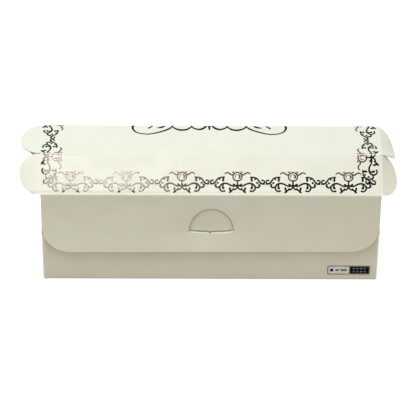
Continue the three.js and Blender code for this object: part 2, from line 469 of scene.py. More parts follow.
def ear_outline(ear, run):
    """How far the ear reaches beyond the end of the box at one place along its hinge."""
    share = min(1.0, abs(run) / ear_half(ear))
    return EAR_REACH * (1 - share**EAR_FULLNESS) ** (1 / EAR_FULLNESS)


def bent(turn, reach):
    """Where a strip that is bent down by a turn has got to: how far out, and how far down."""
    count = max(1, math.ceil(reach / BEND_STEP))
    out = drop = 0.0
    for k in range(count):
        along = reach * (k + 0.5) / count
        angle = turn * smooth(0, EAR_BEND, along) + EAR_CURL * (along / EAR_REACH - 0.5)
        out += reach / count * math.cos(angle)
        drop += reach / count * math.sin(angle)
    return out, drop


def on_ear(ear, s, reach, lift=0.0):
    """A point of an ear, at a distance beyond the start of its bend."""
    run = ear_run(ear, s)
    out, drop = bent(turn_of(ear, run), reach)
    place, _ = section(s)
    flat_x = min(HALF, HALF - EAR_BEND / 2 + reach)
    spot = place + ear.panel.normal * (relief(ear.side * flat_x, s) - drop + lift)
    x = ear.side * (HALF - EAR_BEND / 2 + out)
    worn = math.exp(-(((reach - EAR_BEND / 2) / BEND_WORN) ** 2))
    return at(x, spot.x, spot.y), worn


def ear_at(x, s):
    """The ear on whose hinge a place lies, or None."""
    return next((ear for ear in EARS if ear.side * x > 0 and ear_run(ear, s) is not None), None)


def under_print(x, s, out):
    """A place on the sheet for print, which follows the sheet round the ends of the box."""
    round_end = abs(x) - PLAIN_END
    if s > BACK_EAVE.s and round_end > 0:
        turn = min(round_end / SIDE_ROUND, math.pi / 2)
        radius = SIDE_ROUND + out
        straight = round_end - SIDE_ROUND * turn
        plan_y = BACK - SIDE_ROUND + radius * math.cos(turn) - straight
        return at(math.copysign(PLAIN_END + radius * math.sin(turn), x), plan_y, WALL - s + BACK_EAVE.s)
    beyond = abs(x) - (HALF - EAR_BEND / 2)
    ear = ear_at(x, s) if beyond > 0 else None
    return on_ear(ear, s, beyond, out)[0] if ear else on_sheet(x, s, out)


def lid_point(c, s):
    """A point of the lid in one column, bent with its ear beyond the hinge."""
    beyond = abs(c) - (HALF - EAR_BEND / 2)
    ear = ear_at(c, s) if beyond > 0 else None
    return on_ear(ear, s, beyond) if ear else (on_sheet(c, s), creasing(s))


def flap_point(c, hang, out=0.0):
    shy = smooth(*FLAP_EASE, hang) * FLAP_SHY / HALF
    return on_sheet(c * (1 - shy), -hang, out), creasing(-hang)


def arc_bevel(c, share):
    """How deep the flap is pressed in beside the arc, at a share of the way from it to the eave."""
    if lock_across(c) == 1:
        return 0.0
    return ARC_BEVEL * max(0.0, 1 - share / ARC_STEP)


def add_lid(work):
    """Flap, slopes and top, with the half-moon left open."""
    lower = [0, EDGE_STEP] + steps(0.03, 1, 14)
    upper = [0, ARC_STEP / 2, ARC_STEP] + steps(0.06, 1, 15)
    eave = crease_reach(EAVE)
    below = [[flap_point(c, lerp(flap_bottom(c), lip_hang(c), t)) for c in COLUMNS] for t in lower]
    above = [[flap_point(c, lerp(arc_hang(c), eave, t), -arc_bevel(c, t)) for c in COLUMNS] for t in upper]
    lid = [[lid_point(c, s) for c in COLUMNS] for s in sheet_rows()]
    add_grid(work, below)
    add_grid(work, above)
    add_grid(work, lid)


def add_ears(work):
    for ear in EARS:
        order = EAR_STEPS if ear.side > 0 else EAR_STEPS[::-1]
        rows = []
        for s in sheet_rows():
            run = ear_run(ear, s)
            if run is not None:
                longest = ear_outline(ear, run)
                rows.append([on_ear(ear, s, EAR_BEND / 2 + longest * share) for share in order])
        add_grid(work, rows)


def lip_swell(x):
    """The tab's fold stands a little higher at its right end."""
    return LIP_SWELL * math.exp(-(((x - LOCK_X - LOCK_HALF) / LIP_SWELL_WIDTH) ** 2))


def add_lip(work):
    """The tab's fold at the half-moon's straight side, going in through the slit."""
    turns = [math.radians(angle) for angle in range(0, 91, 15)]
    rows = []
    for turn in turns:
        row = []
        for c in LOCK_COLUMNS:
            x = c * (1 - FLAP_SHY / HALF)
            radius = LIP_ROUND + lip_swell(c)
            hang = lip_hang(c)
            y = FRONT - flap_lift(x, hang) - relief(x, -hang) + radius * (1 - math.cos(turn))
            row.append((at(x, y, WALL - hang + radius * math.sin(turn)), 1.0))
        rows.append(row)
    last = []
    for x in LOCK_COLUMNS:
        last.append((at(x, WALL_FACE + LIP_TUCK, WALL - lip_hang(x) + LIP_ROUND - LIP_DROP), 0.0))
    rows.append(last)
    add_grid(work, rows)


def end_top(y):
    """How high a side flap reaches under the lid."""
    gap = BOARD + SIDE_GAP
    slope = WALL + min(y - FRONT, BACK - y) - gap * math.sqrt(2)
    return min(slope, HEIGHT - gap)


def wall_line(wall, inward, face, seam):
    """The plan of a wall that turns into side flaps at its ends, as (x, y, folded), from the flap at
    the wall's left, seen from outside, to the one at its right."""
    corner = wall + inward * SIDE_ROUND
    ridge = -inward * TOP / 2
    inner = rounded_steps(seam, ridge, 10)[:-1] + rounded_steps(ridge, corner, 7)[:-1]
    left = [(-face, y) for y in inner]
    for angle in range(0, 91, 15):
        a = math.radians(angle)
        left.append((SIDE_ROUND * (1 - math.cos(a)) - face, corner - inward * SIDE_ROUND * math.sin(a)))
    line = [(x, y, 1.0) for x, y in left]
    line += [(inward * x, wall, 0.0) for x in WALL_COLUMNS[::inward]]
    line += [(-x, y, 1.0) for x, y in left[::-1]]
    return [(inward * x, y, folded) for x, y, folded in line]


def side_bow(x, y, z, wall, seam):
    """Side flaps draw in slightly between their edges."""
    share = min(1.0, max(0.0, (y - wall) / (seam - wall)))
    return -math.copysign(SIDE_BOW * math.sin(math.pi * share) * math.sin(math.pi * z / HEIGHT), x)


def add_wall(work, wall, inward, face, seam, wall_top, slit):
    """One upright wall with its two side flaps, from the floor's crease up."""
    line = wall_line(wall, inward, face, seam)
    waist = WALL - LOCK_HANG + LIP_ROUND
    rounds = [math.radians(angle) for angle in range(90, 0, -18)]
    heights = rounded_steps(0, 1, 12)

    def slit_edges(x, folded):
        if not slit or folded or abs(x - LOCK_X) >= LOCK_HALF + SLIT_ENDS / 2:
            return waist, waist
        top = WALL - slit_hang(x) + LIP_ROUND
        return top - BOARD - SLIT_BELOW, top + SLIT_GAPE + lip_swell(x) - NICK_IN_WALL * nick(x)

    def point(x, y, z, folded):
        if folded:
            near = abs(y - wall) < SIDE_ROUND + MERGE
            bow = 0.0 if near else side_bow(x, y, z, wall, seam)
            return at(x + bow, y, z), (1.0 if near else 0.0)
        if not slit:
            return on_sheet(x, BACK_EAVE.s + WALL - z), 0.0
        hollow = WALL_HOLLOW * math.sin(math.pi * z / wall_top) * (1 + math.sin(x / WALL_WAVE + wall))
        lean = WALL_LEAN * max(0.0, 1 - z / WALL_LEAN_UP) ** 2
        push = NICK_DENT * nick(x) * max(0.0, 1 - abs(z - waist) / NICK_DENT_REACH)
        return at(x, y + inward * (hollow + lean - push), z), 0.0

    rows = []
    for a in rounds:
        row = []
        for x, y, folded in line:
            if folded:
                place = (x, y, lerp(CREASE_ROUND, SIDE_LIFT, math.sin(a)))
            else:
                tuck = CREASE_ROUND * (1 - math.cos(a)) + (WALL_LEAN if slit else 0)
                place = (x, y + inward * tuck, CREASE_ROUND * (1 - math.sin(a)))
            row.append((at(*place), 1.0))
        rows.append(row)
    for share in heights:
        rows.append([point(x, y, lerp(CREASE_ROUND, slit_edges(x, f)[0], share), f) for x, y, f in line])
    add_grid(work, rows)

    rows = []
    for share in heights:
        row = []
        for x, y, folded in line:
            top = end_top(y) if folded else wall_top
            row.append(point(x, y, lerp(slit_edges(x, folded)[1], top, share), folded))
        rows.append(row)
    add_grid(work, rows)


def add_floor(work):
    """The floor, which reaches a little past the walls' plain stretch at both ends."""
    ends = [-(SIDE_BACK_FACE - BOARD - 0.1)] + WALL_COLUMNS + [SIDE_BACK_FACE - BOARD - 0.1]
    rows = []
    for y in steps(BACK - CREASE_ROUND, WALL_FACE + CREASE_ROUND, 10):
        rows.append([(at(x, y, 0), 0.0) for x in ends])
    add_grid(work, rows)


def make_carton(face, cut_edge, inside):
    """The whole folded sheet, given the board's thickness."""
    work = new_sheet()
    add_lid(work)
    add_ears(work)
    add_lip(work)
    back_top = WALL - crease_reach(BACK_EAVE)
    add_wall(work, WALL_FACE, 1, SIDE_FRONT_FACE, SIDE_SEAM, WALL - WALL_TUCK, True)
    add_wall(work, BACK, -1, SIDE_BACK_FACE, SIDE_SEAM - SIDE_LAP, back_top, False)
    add_floor(work)
    piece = new_piece(work, "carton_board", [face, cut_edge, inside])
    thickness = piece.modifiers.new("thickness", "SOLIDIFY")
    thickness.thickness = BOARD * MM
    thickness.offset = -1
    thickness.use_quality_normals = True
    thickness.material_offset_rim = 1
    thickness.material_offset = 2
    apply_modifiers(piece)
    shade(piece)
    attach(piece, "root")
    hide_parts("carton")
    return piece


# Web of board in the notch between the two left ears, dark brown as painted shade: where its outer
# corners lie, as distance from the ridge and reach beyond the start of the ears' bends
WEB_ON_TOP = (2, 6.7)
WEB_ON_SLOPE = (1.1, 4.9)
WEB_ROOT = 89.6
WEB_BOARD = 0.25


def make_ear_web(material):
    """A small gusset that joins the undersides of the two left ears near their hinge. Its dark colour is
    painted shade.
    """
    top_ear, _, slope_ear = EARS[:3]
    ridge = TOP_PANEL.start
    corners = [
        on_sheet(-WEB_ROOT, ridge, -BOARD),
        on_ear(top_ear, ridge + WEB_ON_TOP[0], WEB_ON_TOP[1], -BOARD)[0],
        on_ear(slope_ear, ridge - WEB_ON_SLOPE[0], WEB_ON_SLOPE[1], -BOARD)[0],
    ]
    work = bmesh.new()
    work.faces.new([work.verts.new(corner) for corner in corners])
    piece = new_piece(work, "ear_web", [material])
    thickness = piece.modifiers.new("thickness", "SOLIDIFY")
    thickness.thickness = WEB_BOARD * MM
    thickness.offset = -1
    apply_modifiers(piece)
    shade(piece)
    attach(piece, "root")
    return piece


# Print: brush strokes of foil. A stroke is a list of (across, up, width) points of its middle line.
def curve_through(points, spacing):
    """A smooth line through the points, by Catmull-Rom, as Vectors of across, up and width."""
    line = [Vector(point) for point in points]
    line = [2 * line[0] - line[1]] + line + [2 * line[-1] - line[-2]]
    drawn = []
    for a, b, c, d in zip(line, line[1:], line[2:], line[3:]):
        count = max(2, math.ceil((c - b).to_2d().length / spacing))
        for k in range(count):
            t = k / count
            spot = 2 * b + (c - a) * t + (2 * a - 5 * b + 4 * c - d) * t**2 + (3 * b - a - 3 * c + d) * t**3
            drawn.append(spot / 2)
    return drawn + [line[-2]]


STROKE_SPACING = 0.4
STROKE_FOOT = -0.02
STROKE_CROWN = 0.012
THINNEST = 0.06


def rounded_stroke(points):
    """The drawn line of a stroke, with round ends."""
    drawn = curve_through(points, STROKE_SPACING)
    for _ in range(2):
        drawn.reverse()
        end, before = drawn[-1], drawn[-2]
        onward = (end - before).to_2d().normalized()
        for angle in (30, 60, 85):
            reach = end.z / 2 * math.sin(math.radians(angle))
            spot = end.to_2d() + onward * reach
            drawn.append(Vector((spot.x, spot.y, end.z * math.cos(math.radians(angle)))))
    return drawn


def add_stroke(work, drawn, place, lift, spread, closed=False):
    """Lays one stroke on the sheet as a thin closed body with a slightly crowned face."""
    rings = []
    for k, spot in enumerate(drawn):
        after = drawn[(k + 1) % len(drawn)] if closed else drawn[min(k + 1, len(drawn) - 1)]
        before = drawn[k - 1] if closed or k > 0 else drawn[0]
        along = (after - before).to_2d().normalized()
        across = Vector((-along.y, along.x)) * (max(THINNEST, spot.z) + spread) / 2
        middle = spot.to_2d()
        section_points = [
            (middle - across, STROKE_FOOT),
            (middle - across, lift),
            (middle, lift + STROKE_CROWN),
            (middle + across, lift),
            (middle + across, STROKE_FOOT),
        ]
        rings.append([work.verts.new(place(p.x, p.y, out)) for p, out in section_points])
    pairs = list(zip(rings, rings[1:] + rings[:1])) if closed else list(zip(rings, rings[1:]))
    for ring, following in pairs:
        for k in range(len(ring)):
            j = (k + 1) % len(ring)
            work.faces.new((ring[k], following[k], following[j], ring[j]))
    if not closed:
        work.faces.new(rings[0])
        work.faces.new(rings[-1][::-1])


def mirrored(stroke):
    return [(-across, up, width) for across, up, width in stroke]


def add_both_ways(work, stroke, place, lift, spread):
    """A stroke to the right of the middle, and the same one to the left."""
    for shape in (stroke, mirrored(stroke)):
        add_stroke(work, rounded_stroke(shape), place, lift, spread)


# One half of the scrollwork unit. Its origin is where its strokes cross, and up is to the roundel.
SPINDLE = [(0, 1.9, 0.3), (0, 0.9, 0.5), (0, 0.1, 1.05), (0, -0.8, 0.5), (0, -1.2, 0.2)]
HALF_SCROLL = [
    # Leaf beside the crossing
    [(0.2, 0.05, 0.5), (1.15, 0.3, 0.45), (1.85, 0.75, 0.72), (2.4, 1.0, 0.3)],
    # Large C-scroll, and the drop inside it
    [
        (0.5, 0.1, 0.3), (2.2, -0.1, 0.38), (3.5, 0.37, 0.42), (4.8, 1.08, 0.46), (6.1, 1.42, 0.5),
        (7.4, 1.33, 0.52), (8.5, 0.72, 0.52), (9.2, -0.18, 0.5), (9.35, -1.1, 0.48),
        (9.0, -2.05, 0.45), (8.2, -2.7, 0.42), (7.4, -2.82, 0.42), (6.75, -2.5, 0.62),
    ],
    [(7.35, 0.85, 0.15), (7.75, -0.1, 0.5), (7.6, -0.9, 0.85), (7.35, -1.25, 0.8)],
    # Small curl below the crossing
    [(0.15, -0.5, 0.35), (0.75, -1.45, 0.4), (1.5, -1.85, 0.45), (2.3, -1.5, 0.66)],
    # Long leaf down to the edge, and the one that stands on it
    [(1.2, -1.75, 0.2), (2.7, -2.15, 0.4), (3.55, -2.85, 0.82), (4.4, -3.65, 0.16)],
    [(3.75, -2.5, 0.3), (3.98, -1.5, 0.75), (4.12, -0.75, 0.3)],
    # Long S-stroke out to the next unit, with its leaf, barb and drop
    [
        (6.7, 4.72, 0.25), (7.6, 4.62, 0.52), (8.7, 4.55, 0.36), (10.0, 4.2, 0.34), (10.9, 3.25, 0.45),
        (11.6, 2.2, 0.5), (12.5, 1.38, 0.6), (13.4, 1.2, 0.6), (14.1, 1.3, 0.7),
    ],
    [(7.4, 4.4, 0.35), (7.5, 3.2, 0.8), (7.6, 2.5, 0.35)],
    [(9.6, 4.2, 0.25), (9.5, 3.75, 0.4), (9.2, 3.45, 0.55)],
    [(10.15, 2.0, 0.35), (10.35, 1.7, 0.85), (10.3, 1.4, 0.55)],
    # Link from the C-scroll to the S-stroke
    [(9.3, -0.35, 0.35), (10.4, -0.8, 0.42), (11.35, -0.35, 0.62), (11.6, 0.5, 0.62), (11.15, 1.05, 0.36)],
    # Curl at the end
    [(14.0, 1.5, 0.45), (14.2, 2.35, 0.36), (13.6, 3.1, 0.34), (12.7, 2.95, 0.42)],
]

# Roundel above the crossing: its ring, the crescent in it, its stem and its wings
ROUNDEL_UP = 4.96
ROUNDEL_ACROSS = 2.38
ROUNDEL_TALL = 2.28
RING_WIDTH = 0.42
CRESCENT_ROUND = 1.22
STEM = [(0, 2.75, 1.1), (0, 2.3, 0.62), (0, 1.9, 0.42), (0, 1.2, 0.42)]
HALF_WINGS = [
    [
        (2.2, 6.15, 0.3), (3.2, 6.0, 0.5), (4.3, 6.75, 0.42), (5.3, 7.15, 0.44), (6.2, 6.85, 0.34),
        (6.75, 6.2, 0.12),
    ],
    [(1.7, 6.9, 0.16), (2.1, 7.6, 0.2), (2.6, 7.35, 0.2), (2.45, 6.9, 0.14)],
]


def ring_points(radius_across, radius_up, centre, start, end, width, count=28):
    """Points round an ellipse between two angles, where width is a rule of the share of the way."""
    points = []
    for k in range(count + 1):
        share = k / count
        angle = math.radians(lerp(start, end, share))
        x = radius_across * math.cos(angle)
        points.append(Vector((x, centre + radius_up * math.sin(angle), width(share))))
    return points


def swelling(thin, thick):
    return lambda share: lerp(thin, thick, math.sin(math.pi * share) ** 1.5)


Unit = namedtuple("Unit", "x s quarter_turns")


def print_units():
    """The units of the frame: a row along each long side and a column at each end."""
    units = []
    for k in range(6):
        x = PRINT_X + UNIT_STEP * (k - 2.5)
        units.append(Unit(x, PRINT_S - ROW_FROM_MIDDLE, 0))
        units.append(Unit(x, PRINT_S + ROW_FROM_MIDDLE, 2))
    for k in (-1, 0, 1):
        s = PRINT_S + UNIT_STEP * k
        units.append(Unit(PRINT_X - COLUMN_FROM_MIDDLE, s, 3))
        units.append(Unit(PRINT_X + COLUMN_FROM_MIDDLE, s, 1))
    return units


def unit_place(unit):
    """The rule that lays a point of a unit on the sheet."""
    turn = Matrix.Rotation(math.radians(90 * unit.quarter_turns), 2)

    def place(across, up, out):
        spot = turn @ Vector((across, up))
        return under_print(unit.x + spot.x, unit.s + spot.y, out)

    return place


# How much lower each stroke lies than the one before it, so that no two faces coincide
LAYER_STEP = 0.003


def add_scrollwork(work, unit):
    place = unit_place(unit)
    add_stroke(work, rounded_stroke(SPINDLE), place, FOIL_LIFT + LAYER_STEP, SCROLL_SPREAD)
    for layer, stroke in enumerate(HALF_SCROLL):
        add_both_ways(work, stroke, place, FOIL_LIFT - LAYER_STEP * (layer % 5), SCROLL_SPREAD)


def add_roundel(work, unit):
    place = unit_place(unit)
    ring = ring_points(ROUNDEL_ACROSS, ROUNDEL_TALL, ROUNDEL_UP, 0, 360, lambda share: RING_WIDTH)[:-1]
    add_stroke(work, ring, place, FOIL_LIFT, ROUNDEL_SPREAD, closed=True)
    crescent = ring_points(CRESCENT_ROUND, CRESCENT_ROUND, ROUNDEL_UP, -60, 75, swelling(0.1, 0.72), 14)
    add_stroke(work, crescent, place, FOIL_LIFT, ROUNDEL_SPREAD)
    hook = ring_points(CRESCENT_ROUND, CRESCENT_ROUND, ROUNDEL_UP, 80, 225, swelling(0.08, 0.3), 14)
    add_stroke(work, hook, place, FOIL_LIFT, ROUNDEL_SPREAD / 2)
    add_stroke(work, rounded_stroke(STEM), place, FOIL_LIFT - LAYER_STEP, ROUNDEL_SPREAD)
    for layer, stroke in enumerate(HALF_WINGS):
        add_both_ways(work, stroke, place, FOIL_LIFT - LAYER_STEP * (layer + 1), ROUNDEL_SPREAD)


# Flourish across the middle of the print: plain pen strokes, the same to the left and the right
FLOURISH_SPINE = [(0, 4.5, 0.3), (0, 1.5, 0.8), (0, -1.5, 1.3), (0, -4.2, 0.8), (0, -6.2, 0.2)]
HALF_FLOURISH = [
    [
        (0.9, 0.4, 0.4), (2.2, -3.4, 1.0), (5.2, -5.6, 1.15), (8.6, -4.2, 0.7), (9.9, -0.8, 0.5),
        (8.4, 2.1, 0.9), (5.9, 1.8, 0.6), (5.5, -0.3, 0.5),
    ],
    [
        (9.2, -2.8, 0.4), (12.2, -5.7, 1.1), (16.0, -6.0, 1.15), (19.4, -3.6, 0.6), (19.9, 0.2, 0.5),
        (17.8, 2.7, 0.9), (15.2, 1.9, 0.6), (15.2, -0.4, 0.5),
    ],
    [
        (19.2, -2.2, 0.4), (22.0, -5.4, 0.9), (27.5, -8.4, 0.75), (33.4, -9.9, 0.6), (39.0, -8.2, 0.6),
        (41.0, -3.6, 0.95), (38.2, 0.9, 0.95), (33.2, 1.4, 0.6), (30.4, -1.8, 0.5), (32.4, -4.6, 0.8),
    ],
    [(23.4, -2.0, 0.2), (25.4, -3.6, 1.1), (28.0, -4.3, 0.2)],
    [(1.6, 3.4, 0.2), (3.6, 4.8, 0.9), (6.6, 4.9, 0.2)],
    [(10.8, 3.2, 0.2), (12.4, 4.5, 0.9), (14.8, 4.6, 0.2)],
]


def add_flourish(work):
    def place(across, up, out):
        return on_sheet(PRINT_X + across, PRINT_S + up, out)

    add_stroke(work, rounded_stroke(FLOURISH_SPINE), place, FOIL_LIFT + LAYER_STEP, FLOURISH_SPREAD)
    for layer, stroke in enumerate(HALF_FLOURISH):
        add_both_ways(work, stroke, place, FOIL_LIFT - LAYER_STEP * (layer % 4), FLOURISH_SPREAD)


def make_print(name, material, add_part, units=()):
    """One piece of print: one part for each unit, or a single part without any."""
    work = bmesh.new()
    for unit in units:
        add_part(work, unit)
    if not units:
        add_part(work)
    bmesh.ops.recalc_face_normals(work, faces=work.faces)
    piece = new_piece(work, name, [material])
    add_print_creasing(piece)
    shade(piece)
    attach(piece, "root")
    return piece


def add_print_creasing(piece):
    """Marks where the print runs over the creases of the sheet, from each point's height and depth."""
    layer = piece.data.attributes.new("crease", "FLOAT", "POINT")
    corners = [at(0, crease.corner.x, crease.corner.y) for crease in CREASES]
    values = []
    for vertex in piece.data.vertices:
        near = min(math.hypot(vertex.co.y - c.y, vertex.co.z - c.z) for c in corners) / MM
        values.append(math.exp(-((near / PRINT_WORN) ** 2)))
    layer.data.foreach_set("value", values)


# Painted shadow along the arc's cut: a thin dark strip a little below the flap's face, for the shade in the
# gap
ARC_SHADE_WIDTH = 0.7
ARC_SHADE_DEPTH = 0.16


# Lays the dark strip of painted shadow round the half-moon's arc
def add_arc_gap_shade(work):
    def place(x, s, out):
        return on_sheet(x, s, out - ARC_SHADE_DEPTH)

    line = []
    for angle in range(2, 179, 4):
        a = math.radians(angle)
        x = LOCK_X + LOCK_HALF * math.cos(a)
        line.append(Vector((x, LOCK_RISE * math.sin(a) - LOCK_HANG, ARC_SHADE_WIDTH)))
    add_stroke(work, line, place, 0.0, 0)


# Small patch at the right end of the front wall: a pale and a dark cell with bars, in a grey border
PATCH_LEFT = 63.1
PATCH_RIGHT = 86.2
PATCH_LOW = 3.85
PATCH_HIGH = 9.95
PATCH_SPLIT = 75.4
PATCH_ROUND = 0.9
PATCH_BORDER = 0.6
PALE_CELL_ROUND = 0.6
DARK_CELL_ROUND = 0.4
DARK_CELL_SHY = 0.15
PALE, DARK, GREY = range(3)

# How far the patch's plates stand out of the wall's face, and how deep their foot is sunk in it
BORDER_OUT = 0.03
CELL_OUT = 0.04
BAR_OUT = 0.05
PLATE_FOOT = -0.12

# Bars on the pale cell, as left end, right end and half height, and on the dark cell, as left end,
# right end and place above the middle
PALE_BARS = [(64.6, 66.4, 0.9), (67.4, 69.4, 0.5), (70.2, 73.8, 0.5)]
DARK_BARS = [(76.9 + 1.95 * k, 78.1 + 1.95 * k, up) for k in range(4) for up in (1.05, -1.05)]
DARK_BAR_HALF = 0.4
PALE_BAR_ROUND = 0.5
DARK_BAR_ROUND = 0.3


def on_wall(x, z, out):
    return at(x, WALL_FACE - out, z)


def add_plate(work, left, right, low, high, radius, out, material):
    """A thin rounded plate of ink, whose foot is sunk in the front wall."""
    outline = []
    corners = [(right - radius, high - radius, 0), (left + radius, high - radius, 90)]
    corners += [(left + radius, low + radius, 180), (right - radius, low + radius, 270)]
    for x, z, start in corners:
        for angle in range(start, start + 91, 15):
            a = math.radians(angle)
            outline.append((x + radius * math.cos(a), z + radius * math.sin(a)))
    face = [work.verts.new(on_wall(x, z, out)) for x, z in outline]
    foot = [work.verts.new(on_wall(x, z, PLATE_FOOT)) for x, z in outline]
    made = [work.faces.new(face), work.faces.new(foot[::-1])]
    for k in range(len(face)):
        j = (k + 1) % len(face)
        made.append(work.faces.new((face[k], foot[k], foot[j], face[j])))
    for each in made:
        each.material_index = material


def make_patch(pale, dark, grey):
    """The border's plate, the cells on it and the bars on the cells, each a little further out."""
    work = bmesh.new()
    left, right = PATCH_LEFT + PATCH_BORDER, PATCH_RIGHT - PATCH_BORDER
    low, high = PATCH_LOW + PATCH_BORDER, PATCH_HIGH - PATCH_BORDER
    dark_low, dark_high = low + DARK_CELL_SHY, high - DARK_CELL_SHY
    add_plate(work, PATCH_LEFT, PATCH_RIGHT, PATCH_LOW, PATCH_HIGH, PATCH_ROUND, BORDER_OUT, GREY)
    add_plate(work, left, PATCH_SPLIT - PATCH_BORDER, low, high, PALE_CELL_ROUND, CELL_OUT, PALE)
    add_plate(work, PATCH_SPLIT, right, dark_low, dark_high, DARK_CELL_ROUND, CELL_OUT, DARK)
    middle = (PATCH_LOW + PATCH_HIGH) / 2
    for left, right, half in PALE_BARS:
        add_plate(work, left, right, middle - half, middle + half, PALE_BAR_ROUND, BAR_OUT, DARK)
    for left, right, up in DARK_BARS:
        bar_low, bar_high = middle + up - DARK_BAR_HALF, middle + up + DARK_BAR_HALF
        add_plate(work, left, right, bar_low, bar_high, DARK_BAR_ROUND, BAR_OUT, GREY)
    piece = new_piece(work, "wall_patch", [pale, dark, grey])
    shade(piece)
    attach(piece, "root")
    return piece


# Node tools
def new_material(name):
    material = bpy.data.materials.new(name)
    material.use_nodes = True
    tree = material.node_tree
    shader = tree.nodes["Principled BSDF"]
    return material, tree, shader


def plug(tree, socket, value):
    """Sets a socket, or links another socket to it."""
    if isinstance(value, bpy.types.NodeSocket):
        tree.links.new(value, socket)
    else:
        socket.default_value = value


def use_group(tree, group, **values):
    placed = tree.nodes.new("ShaderNodeGroup")
    placed.node_tree = group
    for name, value in values.items():
        plug(tree, placed.inputs[name.replace("_", " ").capitalize()], value)
    return placed.outputs


def math_node(tree, operation, *values):
    made = tree.nodes.new("ShaderNodeMath")
    made.operation = operation
    for socket, value in zip(made.inputs, values):
        plug(tree, socket, value)
    return made.outputs[0]


def mix_colour(tree, share, first, second):
    made = tree.nodes.new("ShaderNodeMix")
    made.data_type = "RGBA"
    plug(tree, made.inputs[0], share)
    plug(tree, made.inputs[6], first)
    plug(tree, made.inputs[7], second)
    return made.outputs[2]


def map_range(tree, value, low, high, to_low=0.0, to_high=1.0):
    made = tree.nodes.new("ShaderNodeMapRange")
    made.interpolation_type = "SMOOTHSTEP"
    for socket, number in zip(made.inputs, (value, low, high, to_low, to_high)):
        plug(tree, socket, number)
    return made.outputs[0]


NOISE_DETAIL = 3


def noise(tree, scale, stretch=None):
    """Noise over the object's own coordinates, drawn out along x where it is stretched."""
    place = tree.nodes.new("ShaderNodeTexCoord").outputs["Object"]
    if stretch:
        mapping = tree.nodes.new("ShaderNodeMapping")
        mapping.inputs["Scale"].default_value = stretch
        tree.links.new(place, mapping.inputs["Vector"])
        place = mapping.outputs[0]
    made = tree.nodes.new("ShaderNodeTexNoise")
    tree.links.new(place, made.inputs["Vector"])
    plug(tree, made.inputs["Scale"], scale)
    made.inputs["Detail"].default_value = NOISE_DETAIL
    return made.outputs["Fac"]


def bump(tree, shader, height, strength, distance):
    made = tree.nodes.new("ShaderNodeBump")
    made.inputs["Strength"].default_value = strength
    made.inputs["Distance"].default_value = distance * MM
    tree.links.new(height, made.inputs["Height"])
    tree.links.new(made.outputs[0], shader.inputs["Normal"])


def new_group(name, inputs, outputs):
    """An empty shader node group with number inputs and outputs."""
    group = bpy.data.node_groups.new(name, "ShaderNodeTree")
    for label, value in inputs:
        socket = group.interface.new_socket(label, in_out="INPUT", socket_type="NodeSocketFloat")
        socket.default_value = value
    for label in outputs:
        group.interface.new_socket(label, in_out="OUTPUT", socket_type="NodeSocketFloat")
    start = group.nodes.new("NodeGroupInput").outputs
    end = group.nodes.new("NodeGroupOutput").inputs
    return group, start, end


def paper_fibre_group():
    """Cloudy tone and fine fibres of paper, by their sizes in millimetres."""
    group, start, end = new_group("paper_fibre", [("Cloud size", 9), ("Fibre size", 0.3)], ["Tone", "Fibres"])
    cloud = noise(group, math_node(group, "DIVIDE", 1 / MM, start["Cloud size"]))
    fibre = noise(group, math_node(group, "DIVIDE", 1 / MM, start["Fibre size"]), (0.3, 1, 1))
    group.links.new(map_range(group, cloud, 0.35, 0.65), end["Tone"])
    group.links.new(fibre, end["Fibres"])
    return group


def crease_wear_group():
    """Where the coating is stretched or cracked on a crease: a mask, broken up by noise."""
    group, start, end = new_group("crease_wear", [("Wear", 0.5), ("Break size", 0.8)], ["Mask"])
    attribute = group.nodes.new("ShaderNodeAttribute")
    attribute.attribute_name = "crease"
    broken = noise(group, math_node(group, "DIVIDE", 1 / MM, start["Break size"]))
    worn = math_node(group, "MULTIPLY", attribute.outputs["Fac"], math_node(group, "ADD", broken, 0.35))
    mask = math_node(group, "MULTIPLY", map_range(group, worn, 0.25, 0.85), start["Wear"])
    group.links.new(mask, end["Mask"])
    return group


def dust_group():
    """Sparse specks, by their spacing in millimetres and their share of that spacing."""
    group, start, end = new_group("dust_specks", [("Spacing", 4), ("Speck size", 0.05)], ["Mask"])
    cells = group.nodes.new("ShaderNodeTexVoronoi")
    place = group.nodes.new("ShaderNodeTexCoord").outputs["Object"]
    group.links.new(place, cells.inputs["Vector"])
    group.links.new(math_node(group, "DIVIDE", 1 / MM, start["Spacing"]), cells.inputs["Scale"])
    speck = math_node(group, "LESS_THAN", cells.outputs["Distance"], start["Speck size"])
    group.links.new(speck, end["Mask"])
    return group


PAPER_FIBRE = paper_fibre_group()
CREASE_WEAR = crease_wear_group()
DUST_SPECKS = dust_group()

# Colours, linear
BOARD_FACE = (0.885, 0.866, 0.75, 1)
BOARD_FACE_DEEP = (0.868, 0.846, 0.722, 1)
BOARD_STRETCHED = (0.93, 0.925, 0.85, 1)
BOARD_CUT = (0.6, 0.57, 0.48, 1)
BOARD_CUT_DEEP = (0.45, 0.42, 0.35, 1)
# Painted shadow for the thin gap round the half-moon's arc
ARC_GAP_SHADE = (0.5, 0.47, 0.39, 1)
ARC_GAP_SHADE_DEEP = (0.4, 0.375, 0.31, 1)
# Painted shade: dark brown for the web between the left ears, standing for the shadow in the notch
WEB_PAINTED_SHADE = (0.4, 0.31, 0.26, 1)
WEB_PAINTED_SHADE_DEEP = (0.34, 0.26, 0.22, 1)
BOARD_INSIDE = (0.78, 0.76, 0.67, 1)
BOARD_INSIDE_DEEP = (0.70, 0.68, 0.58, 1)
DUST = (0.55, 0.5, 0.42, 1)
DARK_FOIL = (0.012, 0.0055, 0.005, 1)
DARK_FOIL_DEEP = (0.007, 0.0035, 0.003, 1)
WINE_FOIL = (0.085, 0.03, 0.032, 1)
WINE_FOIL_DEEP = (0.06, 0.02, 0.022, 1)
BLACK_INK = (0.002, 0.002, 0.002, 1)
PALE_INK = (0.97, 0.97, 0.99, 1)
GREY_INK = (0.3, 0.29, 0.28, 1)
SWEEP = (0.97, 0.97, 0.97, 1)
SWEEP_DEEP = (0.96, 0.96, 0.96, 1)


